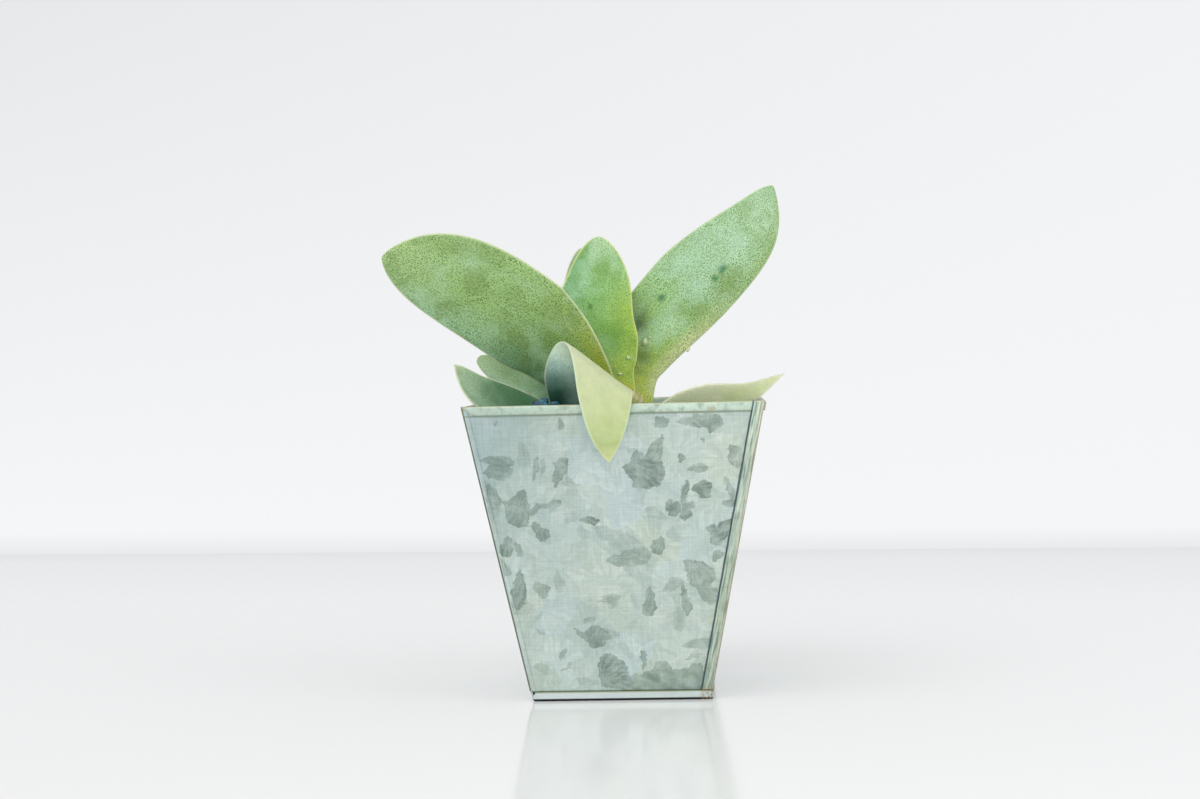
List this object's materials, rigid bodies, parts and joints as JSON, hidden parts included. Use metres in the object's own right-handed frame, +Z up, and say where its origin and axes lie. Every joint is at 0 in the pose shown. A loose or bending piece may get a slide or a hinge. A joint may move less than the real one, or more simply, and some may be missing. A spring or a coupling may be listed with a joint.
{
  "type": "potted crassula",
  "caption": "Propeller plant with thick grey-green sickle leaves, rooted in soil under blue gravel in a square tapered galvanised steel pot.",
  "frame": {"origin": "centre of the pot's flat underside", "axes": "+Z up, -Y out of the pot's front face, which shows one seam at its right edge, +X to the right of that face"},
  "size_m": [0.1374, 0.1105, 0.1781],
  "materials": {
    "galvanised_steel": "spangled zinc, satin",
    "potting_soil": "rough",
    "dyed_gravel": "satin",
    "leaf_flesh": "waxy bloom over fine speckle",
    "stem_flesh": "waxy"
  },
  "bodies": {
    "root": {"pot_body": "galvanised_steel", "pot_base": "galvanised_steel", "soil": "potting_soil", "gravel": "dyed_gravel", "stem": "stem_flesh", "leaf_upper_left": "leaf_flesh", "leaf_upper_right": "leaf_flesh", "leaf_centre": "leaf_flesh", "leaf_centre_back": "leaf_flesh", "leaf_front": "leaf_flesh", "leaf_low_left": "leaf_flesh", "leaf_mid_left": "leaf_flesh", "leaf_low_right": "leaf_flesh"}
  },
  "joints": []
}
